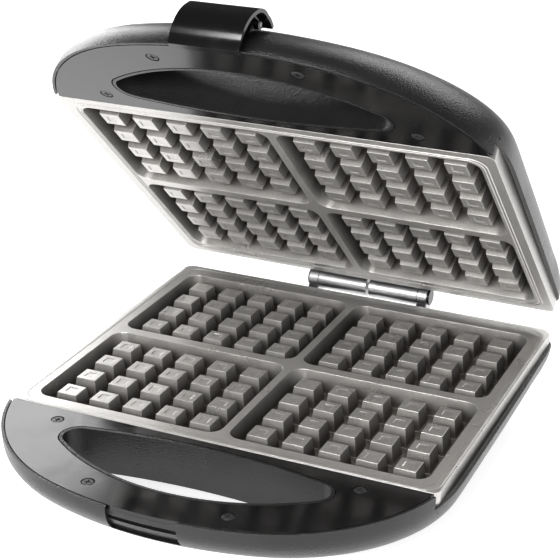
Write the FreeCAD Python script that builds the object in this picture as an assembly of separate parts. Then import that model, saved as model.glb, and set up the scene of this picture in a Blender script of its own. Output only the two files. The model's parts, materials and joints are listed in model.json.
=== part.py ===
import FreeCAD, Part
import math
import os

# Four-slice waffle maker. Millimetres, +Z up, +X to the user's right, +Y towards the hinge.
# Every half is drawn lying open side up with its parting plane at z = 0 and y = 0 at the
# cooking plate's front corner line. The lid is that half mirrored, then swung open.

os.makedirs("parts", exist_ok=True)

# ---------------------------------------------------------------- driving dimensions
plate_front = 4.0               # front edge of the visible rim
plate_corner = 5.0
plate_skirt = 11.75             # height of the exposed side wall
parting_gap = 0.5               # between the two rims when the lid is shut
side_rim = 9.45                 # flat rim beside the waffle cavities
front_rim = 9.725
back_rim = 13.725
cross_half_x = 2.35             # half the bar between left and right cavities
cross_half_y = 3.525            # half the bar between front and back cavities
tooth_pitch = 20.95
tooth_columns = 5
tooth_rows = 4
tooth_tip = 11.9                # square top of a tooth
tooth_root = 15.0               # square foot of a tooth
tooth_recess = 1.4              # tips below the rim
cavity_depth = 12.5
cavity_draft = 1.2              # how much wider the mouth of a waffle cavity is than its floor
cavity_corner = 8.0
root_channel = 6.0              # floor between the outer teeth and the cavity wall
plate_floor = 2.4
plate_clearance = 0.3           # round the plate where it sits in the housing

shell_side = 4.0                # housing beyond the plate's side, at the parting plane
shell_front = -76.5             # front of the grip
shell_behind = 9.0              # housing behind the plate
shell_taper = 1.8               # how much narrower each side is where the rear corner starts
shell_back_corner = 18.0
grip_radius = 190.0             # middle arc of the grip's front
grip_arc_half = 57.0            # half width of that arc
shell_wall = 2.5
base_depth = 38.0
lid_depth = 50.0
base_powers = (3.6, 2.6, 3.0)   # fullness across, to the front, to the back
lid_powers = (3.3, 1.9, 2.8)
side_lip_drop = 8.0             # the housing's side edge lies this far below the parting plane
step_y = 1.5                    # where the full-height grip ends and the low side edge begins
grip_depth = 26.0               # flat underside of the base's grip
belly_front = 2.0               # where the underside starts to slope down to the belly
belly_slope = 0.46

trim_lip = 1.5                  # housing edge left round the grip trim
trim_groove = 0.7
trim_thickness = 2.4
trim_back = 3.5
hole_half = 76.5                # finger hole, half its length
hole_back = -3.6
hole_front = -51.0
hole_back_radius = 360.0
hole_tip_radius = 9.0
hole_wall = 1.7

screw_spots = ((-88.0, -7.6), (-39.2, -58.2), (39.2, -58.2), (88.0, -7.6))
screw_head_radius = 3.3
screw_head_height = 1.5
screw_shank_radius = 1.35
screw_length = 10.0
screw_clearance = 0.1
screw_boss_radius = 4.2

hinge_behind = 14.8             # axis behind the plate's back edge
hinge_rise = 0.9                # axis above the parting plane
hinge_radius = 6.6
hinge_span = 40.4               # outer faces of the base lugs
lug_width = 6.0
hinge_side_gap = 0.5
hinge_pin_radius = 2.5
hinge_pin_clearance = 0.05
knuckle_split = 2.0             # space between the two lid knuckles
lid_angle = 43.0                # how far the lid stands open

latch_half = 18.7
latch_behind = 11.0             # pivot behind the front of the grip
latch_rise = 0.428              # pivot height as a part of the lid's depth
latch_sheet = 2.0
latch_lip = 1.3                 # thickness of the hooked lip
latch_pin_radius = 1.2
latch_hub_radius = 2.7
latch_ear_radius = 2.4
keeper_depth = 2.0              # recess in the base's front for the latch
keeper_ledge = 5.8
keeper_groove = 2.8

foot_inset = 39.0               # feet in from the plate's sides
foot_front_y = 34.0
foot_back_inset = 33.0
foot_radius = 8.0
foot_pad = 4.0
foot_room = 8.0                 # table below the base's dome

element_radius = 3.25
element_side = 41.0             # element in from the plate's sides
element_front = 44.0
element_back = 43.0
element_tail_x = 22.0
element_bend = 11.0             # radius of its corners
element_gap = 0.2
reflector_side = 28.0           # tray in from the plate's sides
reflector_front = 26.0
reflector_back = 31.0
reflector_sheet = 0.8
post_radius = 4.5
tab_inset = 50.0                # rear seats and tabs in from the plate's sides

gland_x = 54.0
gland_radius = 5.0
cord_radius = 3.2
terminal_x = (34.0, 56.0)
terminal_floor = -25.5
thermostat_radius = 9.0

lamp_x = 13.0
lamp_radius = 3.6
lamp_sunk = 0.4                 # lens tops below the highest point of the lid

# ---------------------------------------------------------------- worked out from them
face_z = parting_gap / 2
plate_under = face_z + cavity_depth + plate_floor
cavity_half_x = (tooth_columns - 1) / 2 * tooth_pitch + tooth_root / 2 + root_channel
cavity_half_y = (tooth_rows - 1) / 2 * tooth_pitch + tooth_root / 2 + root_channel
quadrant_x = cross_half_x + cavity_half_x + cavity_draft
quadrant_y = cross_half_y + cavity_half_y + cavity_draft
plate_half_width = quadrant_x + cavity_half_x + cavity_draft + side_rim
grid_middle = plate_front + front_rim + cavity_half_y + cavity_draft + quadrant_y
plate_back = grid_middle + quadrant_y + cavity_half_y + cavity_draft + back_rim
seat_reach = 69.5               # side seats in front of and behind the grid's middle
tab_x = plate_half_width - tab_inset

shell_half_width = plate_half_width + shell_side
shell_back_half = shell_half_width - shell_taper
shell_back = plate_back + shell_behind
dome_middle = (shell_front + shell_back) / 2 + 0.25
standing_depth = base_depth + foot_room
hinge_y = plate_back + hinge_behind
latch_pivot_y = shell_front + latch_behind
latch_pivot_z = lid_depth * latch_rise
foot_x = plate_half_width - foot_inset
foot_back_y = plate_back - foot_back_inset

element_half_x = plate_half_width - element_side
element_front_y = plate_front + element_front
element_back_y = plate_back - element_back
element_z = -(plate_under + element_gap + element_radius)
reflector_half_x = plate_half_width - reflector_side
reflector_front_y = plate_front + reflector_front
reflector_back_y = plate_back - reflector_back
reflector_z = element_z - element_radius - 2.7
element_tail_y = reflector_back_y + 12.0
post_x = element_half_x - 32.0
post_y = grid_middle - element_front_y - 15.5
post_spots = [(x, grid_middle + y) for x in (-post_x, post_x) for y in (-post_y, post_y)]

gland_z = -base_depth * 17 / 38
terminal_y = (reflector_back_y + 5.4, reflector_back_y + 12.0)
lamp_y = reflector_front_y - 12.0
lamp_top = lid_depth - lamp_sunk
lamp_step = (lamp_top + reflector_z) / 25.05    # one unit of the lamp stack, from tray to lens top
X, Y, Z = FreeCAD.Vector(1, 0, 0), FreeCAD.Vector(0, 1, 0), FreeCAD.Vector(0, 0, 1)
ORIGIN = FreeCAD.Vector(0, 0, 0)
HINGE = FreeCAD.Vector(0, hinge_y, hinge_rise)


def at(x, y, z):
    return FreeCAD.Vector(x, y, z)


def block(x0, x1, y0, y1, z0, z1):
    """A box from its six sides."""
    return Part.makeBox(x1 - x0, y1 - y0, z1 - z0, at(x0, y0, z0))


def rod(radius, start, end):
    """A round bar between two points."""
    line = end - start
    return Part.makeCylinder(radius, line.Length, start, line)


def rounded_plate(x0, x1, y0, y1, corner, z):
    """A flat wire: a rectangle with round corners at height z."""
    turn = corner * (1 - math.sqrt(0.5))
    edges = []
    corners = ((x1, y0, -1, 1), (x1, y1, -1, -1), (x0, y1, 1, -1), (x0, y0, 1, 1))
    marks = []
    for index, (x, y, sx, sy) in enumerate(corners):
        along_y = at(x, y + sy * corner, z)
        along_x = at(x + sx * corner, y, z)
        middle = at(x + sx * turn, y + sy * turn, z)
        first, last = (along_x, along_y) if index % 2 == 0 else (along_y, along_x)
        marks.append((first, middle, last))
    for index, (first, middle, last) in enumerate(marks):
        edges.append(Part.Arc(first, middle, last).toShape())
        following = marks[(index + 1) % 4][0]
        edges.append(Part.LineSegment(last, following).toShape())
    return Part.Wire(edges)


def prism(wire, z0, z1):
    """A wire drawn at z = 0 raised into a solid between two heights."""
    face = Part.Face(wire)
    face.translate(at(0, 0, z0))
    return face.extrude(at(0, 0, z1 - z0))


def slab_yz(points, x0, x1):
    """A polygon in the YZ plane given a width along X."""
    corners = [at(x0, y, z) for y, z in points]
    return Part.Face(Part.makePolygon(corners + corners[:1])).extrude(at(x1 - x0, 0, 0))


# ---------------------------------------------------------------- plan of the housing
def plan_half(inset):
    """Right half of the housing's outline, front middle to rear middle, moved in by inset."""
    points = []
    sweep = math.asin(grip_arc_half / grip_radius)
    middle_y = shell_front + grip_radius
    for step in range(7):
        turn = sweep * step / 6
        radius = grip_radius - inset
        points.append((radius * math.sin(turn), middle_y - radius * math.cos(turn)))
    corner_radius = (shell_half_width - grip_arc_half) / (1 - math.sin(sweep))
    centre_x = grip_arc_half - corner_radius * math.sin(sweep)
    centre_y = middle_y - grip_radius * math.cos(sweep) + corner_radius * math.cos(sweep)
    for step in range(1, 13):
        turn = sweep + (math.pi / 2 - sweep) * step / 12
        radius = corner_radius - inset
        points.append((centre_x + radius * math.sin(turn), centre_y - radius * math.cos(turn)))
    run = shell_back - shell_back_corner - centre_y
    bow = shell_half_width - shell_back_half
    side_radius = (run * run + bow * bow) / (2 * bow)
    side_sweep = math.asin(run / side_radius)
    for step in range(1, 9):
        turn = side_sweep * step / 8
        radius = side_radius - inset
        points.append((shell_half_width - side_radius + radius * math.cos(turn),
                       centre_y + radius * math.sin(turn)))
    radius = shell_back_corner - inset
    corner_x = shell_back_half - shell_back_corner
    corner_y = shell_back - shell_back_corner
    for step in range(1, 6):
        turn = math.pi / 2 * step / 5
        points.append((corner_x + radius * math.cos(turn), corner_y + radius * math.sin(turn)))
    for step in range(4, 0, -1):
        points.append((corner_x * step / 5, shell_back - inset))
    return points


def plan_ring(inset=0.0, scales=(1.0, 1.0, 1.0), z=0.0):
    """Points once round the outline, drawn in towards the dome's middle by three scales."""
    across, forward, backward = scales
    half = plan_half(inset)
    ring = [(-x, y) for x, y in reversed(half)] + half[1:]
    points = []
    for x, y in [(0.0, shell_back - inset)] + ring + [(0.0, shell_back - inset)]:
        reach = y - dome_middle
        points.append(at(x * across, dome_middle + reach * (forward if reach < 0 else backward), z))
    return points


def plan_wire(inset=0.0):
    """The closed outline at the parting plane."""
    curve = Part.BSplineCurve()
    curve.interpolate(plan_ring(inset)[:-1], True)
    return Part.Wire(curve.toShape())


def crown_rises(depth, sections):
    """Heights as parts of the depth, evenly spaced along the dome's rounded section."""
    marks = []
    for step in range(401):
        turn = math.radians(87.5) * step / 400
        marks.append((shell_half_width * math.cos(turn) ** (2 / 3), depth * math.sin(turn) ** (2 / 3)))
    lengths = [0.0]
    for before, after in zip(marks, marks[1:]):
        lengths.append(lengths[-1] + math.dist(before, after))
    rises = []
    for step in range(sections):
        wanted = lengths[-1] * step / (sections - 1)
        nearest = min(range(401), key=lambda index: abs(lengths[index] - wanted))
        rises.append(marks[nearest][1] / depth)
    return rises


def dome(depth, powers, inset=0.0):
    """The solid under a full, crowned skin, hanging down from the parting plane."""
    rows = []
    for rise in crown_rises(depth, 16):
        scales = [(1 - rise ** power) ** (1 / power) for power in powers]
        rows.append(plan_ring(inset, scales, -rise * (depth - inset)))
    middle = len(rows[0]) // 2
    faces = []
    for first, last in ((0, middle + 1), (middle, len(rows[0]))):
        skin = Part.BSplineSurface()
        skin.interpolate([row[first:last] for row in rows])
        faces.append(skin.toShape())
    for level in (0.0, rows[-1][0].z):
        rim = [edge for face in faces for edge in face.Edges
               if abs(edge.BoundBox.ZMin - level) < 0.01 and abs(edge.BoundBox.ZMax - level) < 0.01]
        faces.append(Part.Face(Part.Wire(rim)))
    shell = Part.makeShell(faces)
    shell.sewShape(0.0001)
    return Part.makeSolid(shell)


def hole_wire(outset=0.0):
    """The lens-shaped finger hole: two long arcs joined by two small ones."""
    back = hole_back_radius + outset
    tip = hole_tip_radius + outset
    back_centre = hole_back - hole_back_radius
    tip_x = hole_half - hole_tip_radius
    tip_y = back_centre + math.sqrt((hole_back_radius - hole_tip_radius) ** 2 - tip_x ** 2)
    # the front arc is tangent to both tip arcs and passes through hole_front
    drop = tip_y - hole_front
    front_radius = (tip_x ** 2 + drop ** 2 - hole_tip_radius ** 2) / (2 * (drop - hole_tip_radius))
    front_centre = hole_front + front_radius
    front = front_radius + outset

    def toward(centre_y, radius, sign):
        run = math.hypot(tip_x, tip_y - centre_y)
        return at(sign * tip_x * radius / run, centre_y + (tip_y - centre_y) * radius / run, 0)

    back_right, back_left = toward(back_centre, back, 1), toward(back_centre, back, -1)
    front_right, front_left = toward(front_centre, front, 1), toward(front_centre, front, -1)
    edges = [
        Part.Arc(back_left, at(0, hole_back + outset, 0), back_right).toShape(),
        Part.Arc(back_right, at(tip_x + tip, tip_y, 0), front_right).toShape(),
        Part.Arc(front_right, at(0, hole_front - outset, 0), front_left).toShape(),
        Part.Arc(front_left, at(-tip_x - tip, tip_y, 0), back_left).toShape(),
    ]
    return Part.Wire(edges)


# ---------------------------------------------------------------- parts common to both halves
def screw(x, y, top, head_radius, shank_radius, length):
    """A pan-headed screw seen from above, with a cross recess in its head."""
    head = Part.makeCylinder(head_radius, screw_head_height, at(x, y, top - screw_head_height))
    head = head.makeFillet(0.6, [edge for edge in head.Edges if edge.BoundBox.ZMin > top - 0.1])
    shank = rod(shank_radius, at(x, y, top - length), at(x, y, top - screw_head_height))
    solid = head.fuse(shank)
    slot = head_radius * 0.62
    for wide, deep in ((slot, 0.45), (0.45, slot)):
        solid = solid.cut(block(x - wide, x + wide, y - deep, y + deep, top - 1.0, top + 1))
    return solid.removeSplitter()


def under_grip(inset=0.0):
    """What is taken off the base's dome to leave a flat grip with a slope behind it."""
    low = base_depth + 5
    run = (low - grip_depth) / belly_slope
    points = [(-200, -low), (-200, -grip_depth), (belly_front, -grip_depth), (belly_front + run, -low)]
    return slab_yz([(y, z + inset) for y, z in points], -200, 200)


def base_dome(inset=0.0):
    return dome(base_depth, base_powers, inset).cut(under_grip(inset))


def housing(depth, outer, inner, within):
    """One housing half: dome skin, finger-hole tube, bulkhead, screw bosses and plate seats."""
    shell = outer.cut(inner)
    seat_z = -(face_z + trim_thickness + 0.05)
    tube = prism(hole_wire(hole_wall), -depth - 5, -face_z).common(within)
    flange_seat = seat_z - 2.2
    bulkhead = block(-200, 200, hole_back + 1.0, step_y - 0.3, -depth, flange_seat).common(within)
    additions = [tube, bulkhead]
    for x, y in screw_spots:
        boss = Part.makeCylinder(screw_boss_radius, depth, at(x, y, seat_z - depth))
        additions.append(boss.common(within))
    for side in (-1, 1):
        for y in (grid_middle - seat_reach, grid_middle, grid_middle + seat_reach):
            x0, x1 = sorted((side * (plate_half_width - 4), side * (shell_half_width + 5)))
            rib = block(x0, x1, y - 2, y + 2, -26, -(face_z + plate_skirt + 0.05))
            additions.append(rib.common(within))
    for x in (-tab_x, tab_x):
        rib = block(x - 2, x + 2, plate_back - 4, shell_back + 5, -26, -(face_z + plate_skirt + 0.05))
        additions.append(rib.common(within))
    shell = shell.fuse(additions)
    shell = shell.cut(block(-200, 200, step_y, 400, -side_lip_drop, 1))
    shell = shell.cut(block(-200, 200, -200, 400, -face_z, 1))
    shell = shell.cut(prism(hole_wire(), -depth - 10, 10))
    for x, y in screw_spots:
        radius = screw_shank_radius + screw_clearance
        shell = shell.cut(rod(radius, at(x, y, seat_z - screw_length), at(x, y, 1)))
    rebate = prism(plan_wire(trim_lip), seat_z, 1).cut(prism(hole_wire(hole_wall), -50, 50))
    rebate = rebate.cut(block(-200, 200, step_y, 400, -50, 50))
    well = rounded_plate(-plate_half_width - plate_clearance, plate_half_width + plate_clearance, step_y,
                         plate_back + plate_clearance, plate_corner + plate_clearance, 0)
    return shell.cut(rebate).cut(prism(well, -(face_z + plate_skirt + 0.05), 1))


def grip_trim():
    """The flat gloss panel that closes the grip and holds the plate's front flange down."""
    panel = prism(plan_wire(trim_lip + trim_groove), -face_z - trim_thickness, -face_z)
    panel = panel.cut(block(-200, 200, trim_back, 400, -50, 50))
    panel = panel.cut(prism(hole_wire(hole_wall + trim_groove), -50, 50))
    for x, y in screw_spots:
        sink = rod(screw_head_radius + 0.35, at(x, y, -face_z - screw_head_height - 0.1), at(x, y, 5))
        hole = rod(screw_shank_radius + 0.3, at(x, y, -20), at(x, y, 5))
        panel = panel.cut(sink.fuse(hole))
    return panel


def trim_screws():
    top = -face_z - 0.1
    screws = [screw(x, y, top, screw_head_radius, screw_shank_radius, screw_length)
              for x, y in screw_spots]
    return Part.makeCompound(screws)


def cavity(centre_x, centre_y):
    """The drafted hollow of one waffle."""
    wires = []
    for depth, spread in ((face_z + cavity_depth, 0.0), (face_z, cavity_draft)):
        half_x, half_y = cavity_half_x + spread, cavity_half_y + spread
        wires.append(rounded_plate(centre_x - half_x, centre_x + half_x, centre_y - half_y,
                                   centre_y + half_y, cavity_corner, -depth))
    return Part.makeLoft(wires, True, True)


def tooth(x, y):
    """One truncated pyramid, its foot sunk a little into the cavity floor."""
    foot_z = -(face_z + cavity_depth + 0.5)
    top_z = -(face_z + tooth_recess)
    wires = []
    for size, z in ((tooth_root, foot_z), (tooth_tip, top_z)):
        half = size / 2
        corners = [at(x - half, y - half, z), at(x + half, y - half, z),
                   at(x + half, y + half, z), at(x - half, y + half, z)]
        wires.append(Part.makePolygon(corners + corners[:1]))
    return Part.makeLoft(wires, True, True)


def cooking_plate():
    """Cast plate: rim, skirt, four cavities of teeth, front flange, rear tabs and four posts."""
    outline = rounded_plate(-plate_half_width, plate_half_width, plate_front, plate_back, plate_corner, 0)
    plate = prism(outline, -face_z - plate_skirt, -face_z)
    inner = rounded_plate(-plate_half_width + 4, plate_half_width - 4, plate_front + 4, plate_back - 4, 3, 0)
    plate = plate.fuse(prism(inner, -plate_under, -face_z - 2))
    quadrants = [(sx * quadrant_x, grid_middle + sy * quadrant_y) for sx in (-1, 1) for sy in (-1, 1)]
    for x, y in quadrants:
        plate = plate.cut(cavity(x, y))
    teeth = []
    for x, y in quadrants:
        for column in range(tooth_columns):
            for row in range(tooth_rows):
                tooth_x = x + (column - (tooth_columns - 1) / 2) * tooth_pitch
                tooth_y = y + (row - (tooth_rows - 1) / 2) * tooth_pitch
                teeth.append(tooth(tooth_x, tooth_y))
    plate = plate.fuse(teeth)
    flange_top = -(face_z + trim_thickness + 0.1)
    reach = plate_half_width - 13
    flange = block(-reach, reach, hole_back + 2.6, plate_front + 1, flange_top - 2.0, flange_top)
    tabs = [block(x - 9, x + 9, plate_back - 1, plate_back + 4.5, -face_z - plate_skirt, -face_z - 9.5)
            for x in (-tab_x, tab_x)]
    post_end = reflector_z + reflector_sheet + 0.05
    posts = [rod(post_radius, at(x, y, post_end), at(x, y, -plate_under + 1)) for x, y in post_spots]
    plate = plate.fuse([flange] + tabs + posts)
    for x, y in post_spots:
        thread = screw_shank_radius + screw_clearance
        plate = plate.cut(rod(thread, at(x, y, reflector_z - 1), at(x, y, reflector_z + 8)))
    return plate.removeSplitter()


def pipe_along(points, radius, bend):
    """A round tube along straight runs joined by arcs of one bend radius."""
    edges = []
    last = points[0]
    for index in range(1, len(points) - 1):
        before = (points[index - 1] - points[index]).normalize()
        after = (points[index + 1] - points[index]).normalize()
        half_turn = before.getAngle(after) / 2
        back_off = bend / math.tan(half_turn)
        entry = points[index] + before * back_off
        leave = points[index] + after * back_off
        toward = (before + after).normalize()
        centre = points[index] + toward * (bend / math.sin(half_turn))
        middle = centre - toward * bend
        edges.append(Part.LineSegment(last, entry).toShape())
        edges.append(Part.Arc(entry, middle, leave).toShape())
        last = leave
    edges.append(Part.LineSegment(last, points[-1]).toShape())
    path = Part.Wire(edges)
    start = points[1] - points[0]
    ring = Part.Wire(Part.makeCircle(radius, points[0], start))
    return path.makePipeShell([ring], True, False)


def heating_element():
    """Sheathed tube bent round under the teeth, with its two cold ends at the back."""
    x, tail = element_half_x, element_tail_x
    points = [at(tail, element_tail_y, element_z), at(tail, element_back_y, element_z),
              at(x, element_back_y, element_z), at(x, element_front_y, element_z),
              at(-x, element_front_y, element_z), at(-x, element_back_y, element_z),
              at(-tail, element_back_y, element_z), at(-tail, element_tail_y, element_z)]
    tube = pipe_along(points, element_radius, element_bend)
    foot_y, tip_y = element_tail_y - 1, element_tail_y + 9
    studs = [rod(1.5, at(x, foot_y, element_z), at(x, tip_y, element_z)) for x in (-tail, tail)]
    return tube.fuse(studs)


def element_clamps():
    """Three spring-steel saddles that press the element to the plate."""
    saddles = []
    for x, y, across in ((0.0, element_front_y, True), (element_half_x, grid_middle, False),
                         (-element_half_x, grid_middle, False)):
        wide, long = (5.0, 12.0) if across else (12.0, 5.0)
        radius = element_radius + 0.1
        bottom = element_z - radius - 1.0
        saddle = block(x - wide, x + wide, y - long, y + long, bottom, -plate_under - 0.05)
        axis = X if across else Y
        start = at(x, y, element_z) - axis * 20
        bore = Part.makeCylinder(radius, 40, start, axis)
        slot = block(x - (20 if across else radius), x + (20 if across else radius),
                     y - (radius if across else 20), y + (radius if across else 20), element_z, 0)
        saddle = saddle.cut(bore.fuse(slot))
        for side in (-1, 1):
            out_x, out_y = (0.0, side * 8.4) if across else (side * 8.4, 0.0)
            trough = block(x + out_x - 20 if across else x + out_x - 3.6,
                           x + out_x + 20 if across else x + out_x + 3.6,
                           y + out_y - 3.6 if across else y + out_y - 20,
                           y + out_y + 3.6 if across else y + out_y + 20,
                           bottom - 1, -plate_under - 1.2)
            saddle = saddle.cut(trough)
        saddles.append(saddle)
    return Part.makeCompound(saddles)


def reflector():
    """Bright steel tray that turns the heat back to the plate and shields the housing."""
    outline = rounded_plate(-reflector_half_x, reflector_half_x, reflector_front_y, reflector_back_y, 14, 0)
    hollow = rounded_plate(-reflector_half_x + reflector_sheet, reflector_half_x - reflector_sheet,
                           reflector_front_y + reflector_sheet, reflector_back_y - reflector_sheet,
                           14 - reflector_sheet, 0)
    tray = prism(outline, reflector_z, -plate_under - 2.0)
    tray = tray.cut(prism(hollow, reflector_z + reflector_sheet, 0))
    for x, y in post_spots:
        tray = tray.cut(rod(screw_shank_radius + 0.3, at(x, y, reflector_z - 2), at(x, y, 0)))
    tray = tray.cut(rod(13.0, at(0, grid_middle, reflector_z - 2), at(0, grid_middle, 0)))
    for side in (-1, 1):
        tail = element_tail_x
        tray = tray.cut(block(side * tail - 5, side * tail + 5, reflector_back_y - 6, reflector_back_y + 5,
                              element_z - element_radius - 1.25, 0))
    return tray


def reflector_screws():
    screws = []
    for x, y in post_spots:
        one = screw(0, 0, 0, screw_head_radius, screw_shank_radius, 9.0)
        one.rotate(ORIGIN, X, 180)
        one.translate(at(x, y, reflector_z - screw_head_height - 0.05))
        screws.append(one)
    return Part.makeCompound(screws)


# ---------------------------------------------------------------- hinge
lug_inner = hinge_span - lug_width
knuckle_outer = lug_inner - hinge_side_gap
arm_front = shell_back - 6.0
pin_inner = lug_inner - 22.0


def hinge_arm(x0, x1, up):
    """A barrel round the hinge axis with an arm into the housing's back wall."""
    barrel = rod(hinge_radius, at(x0, hinge_y, hinge_rise), at(x1, hinge_y, hinge_rise))
    reach = 26.0
    heel = side_lip_drop + 0.4
    way = 1 if up else -1
    points = [(arm_front, way * heel), (arm_front, way * reach), (shell_back - 1.0, way * reach),
              (hinge_y + hinge_radius * 0.96, hinge_rise + way * 1.8),
              (hinge_y - hinge_radius * 0.6, hinge_rise)]
    return barrel.fuse(slab_yz(points, x0, x1))


def hinge_bore(x0, x1, radius):
    return rod(radius, at(x0, hinge_y, hinge_rise), at(x1, hinge_y, hinge_rise))


# ---------------------------------------------------------------- base
def base_housing():
    inner = base_dome(shell_wall)
    within = base_dome(shell_wall / 2)
    shell = housing(base_depth, base_dome(), inner, within)
    keeper = block(-latch_half - 5, latch_half + 5, shell_front - 5, shell_front + 12, -18, -3.2)
    keeper = keeper.common(within)
    stand = block(*terminal_x, *terminal_y, -base_depth, terminal_floor - 0.1).common(within)
    boss = rod(gland_radius + 3, at(gland_x, shell_back - 9, gland_z), at(gland_x, shell_back - 1, gland_z))
    shell = shell.fuse([keeper, stand, boss])
    pocket = block(-latch_half - 0.8, latch_half + 0.8, shell_front - 5, shell_front + 12, -16, 1)
    shell = shell.cut(pocket.cut(dome(base_depth, base_powers, keeper_depth)))
    shell = shell.cut(block(-latch_half - 0.8, latch_half + 0.8, shell_front - 5, shell_front + 6.5,
                            -keeper_ledge - keeper_groove, -keeper_ledge))
    feet = []
    for x in (-foot_x, foot_x):
        for y in (foot_front_y, foot_back_y):
            cone = Part.makeCone(foot_radius + 1.5, foot_radius + 7, standing_depth - foot_pad - 24,
                                 at(x, y, foot_pad - standing_depth))
            feet.append(cone.cut(inner))
    arms = [hinge_arm(*sorted((side * lug_inner, side * hinge_span)), False) for side in (-1, 1)]
    shell = shell.fuse(feet + arms)
    for x in (-foot_x, foot_x):
        for y in (foot_front_y, foot_back_y):
            shell = shell.cut(rod(3.1, at(x, y, -standing_depth), at(x, y, foot_pad + 6 - standing_depth)))
    shell = shell.cut(hinge_bore(-hinge_span - 1, hinge_span + 1, hinge_pin_radius))
    inlet = rod(gland_radius, at(gland_x, shell_back - 10, gland_z), at(gland_x, shell_back, gland_z))
    shell = shell.cut(inlet)
    for row in (-1, 1):
        for column in range(-2, 3):
            x = column * 22.0
            y = grid_middle + row * 42.0
            shell = shell.cut(block(x - 1.5, x + 1.5, y - 14, y + 14, -base_depth - 5, -base_depth + 8))
    return shell


def cord_gland():
    """Rubber inlet bush in the back wall's boss, bored for a cord, with a short tapered nose."""
    face = shell_back - 1
    body = rod(gland_radius - 0.1, at(gland_x, face - 7, gland_z), at(gland_x, face + 0.1, gland_z))
    flange = rod(gland_radius + 2, at(gland_x, face + 0.05, gland_z), at(gland_x, face + 2.3, gland_z))
    nose = Part.makeCone(gland_radius, gland_radius - 1.2, 6, at(gland_x, face + 2, gland_z), Y)
    bore = rod(cord_radius, at(gland_x, face - 8, gland_z), at(gland_x, face + 9, gland_z))
    return body.fuse([flange, nose]).cut(bore)


def rubber_feet():
    pads = []
    for x in (-foot_x, foot_x):
        for y in (foot_front_y, foot_back_y):
            pad = Part.makeCone(foot_radius - 0.8, foot_radius, foot_pad, at(x, y, -standing_depth))
            stem = rod(3.0, at(x, y, foot_pad - standing_depth), at(x, y, foot_pad + 5 - standing_depth))
            pads.append(pad.fuse(stem))
    return Part.makeCompound(pads)


def hinge_pins():
    """Two plain steel pins, one at each end of the hinge, pressed into the base lugs."""
    pins = []
    for side in (-1, 1):
        pins.append(rod(hinge_pin_radius, at(side * pin_inner, hinge_y, hinge_rise),
                        at(side * (hinge_span - 1.2), hinge_y, hinge_rise)))
    return pins


def hinge_caps():
    """Press-in caps that cover the ends of the hinge bores."""
    caps = []
    for side in (-1, 1):
        plug = rod(hinge_pin_radius - 0.05, at(side * (hinge_span - 1.1), hinge_y, hinge_rise),
                   at(side * (hinge_span + 0.2), hinge_y, hinge_rise))
        disc = rod(hinge_radius - 1.2, at(side * (hinge_span + 0.05), hinge_y, hinge_rise),
                   at(side * (hinge_span + 1.5), hinge_y, hinge_rise))
        caps.append(plug.fuse(disc))
    return Part.makeCompound(caps)


def thermostat():
    """Snap-disc thermostat held against the plate in the middle of the tray's opening."""
    top = -plate_under - 0.1
    body = rod(thermostat_radius, at(0, grid_middle, top), at(0, grid_middle, top - 7))
    neck = rod(6.5, at(0, grid_middle, top - 7), at(0, grid_middle, top - 11))
    tabs = [block(side * 4 - 1.6, side * 4 + 1.6, grid_middle + 5, grid_middle + 11.5, top - 10.2, top - 9.4)
            for side in (-1, 1)]
    return body.fuse([neck] + tabs)


def thermal_fuse():
    """Glass-sleeved one-shot fuse lying on the tray, with its two clips."""
    z = reflector_z - 3.4
    y = grid_middle - 24
    sleeve = rod(2.6, at(-14, y, z), at(14, y, z))
    leads = rod(0.7, at(-22, y, z), at(22, y, z))
    clips = [block(x - 2, x + 2, y - 3.4, y + 3.4, z - 3.2, reflector_z - 0.05) for x in (-9.0, 9.0)]
    return sleeve.fuse([leads] + clips)


def terminal_block():
    """Ceramic junction on its stand behind the tray, three wire bores from front to back."""
    height = 8.5
    solid = block(*terminal_x, *terminal_y, terminal_floor, terminal_floor + height)
    middle_y = sum(terminal_y) / 2
    for index in range(3):
        x = terminal_x[0] + 4 + index * 7
        solid = solid.cut(rod(1.9, at(x, terminal_y[0] - 1, terminal_floor + 4),
                              at(x, terminal_y[1] + 1, terminal_floor + 4)))
        solid = solid.cut(rod(1.5, at(x, middle_y, terminal_floor + 6), at(x, middle_y, terminal_floor + 12)))
    return solid


def wire(points, radius=1.3, bend=6.0):
    return pipe_along([at(*point) for point in points], radius, bend)


def base_wiring():
    """Insulated leads from the junction to the thermostat and the element's cold ends."""
    left, middle, _ = [terminal_x[0] + 4 + index * 7 for index in range(3)]
    y = terminal_y[1] - 1.5
    z = terminal_floor + 4
    low = reflector_z - 3.6
    drop_y = (terminal_y[0] + reflector_back_y) / 2
    centre_y = grid_middle + 14.5
    sweep_y = grid_middle + 40.5
    stud_y = element_tail_y + 6.0
    runs = [
        [(left, terminal_y[0] + 2.0, z), (left, drop_y, z), (left, drop_y, low + 1.8),
         (left, reflector_back_y - 8.0, low), (8.0, sweep_y, low), (4.0, centre_y, low)],
        [(middle, y, z), (middle, stud_y, z), (element_tail_x, stud_y, z)],
        [(-4.0, centre_y, low), (-8.0, sweep_y, low), (-20.0, reflector_back_y - 3.0, low),
         (-element_tail_x, element_tail_y - 2.5, element_z - element_radius - 1.35)],
    ]
    return Part.makeCompound([wire(run, 1.2, 2.5) for run in runs])


# ---------------------------------------------------------------- lid, drawn open side up too
def to_lid(shape):
    """Turns a half drawn open side up into the lid, standing open on its hinge."""
    lid = shape.mirror(ORIGIN, Z)
    lid.rotate(HINGE, X, -lid_angle)
    return lid


def lid_place(shape):
    """Swings a piece drawn on the shut lid to where the open lid has it."""
    moved = shape.copy()
    moved.rotate(HINGE, X, -lid_angle)
    return moved


def mirrored(shape):
    return shape.mirror(ORIGIN, Z)


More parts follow.
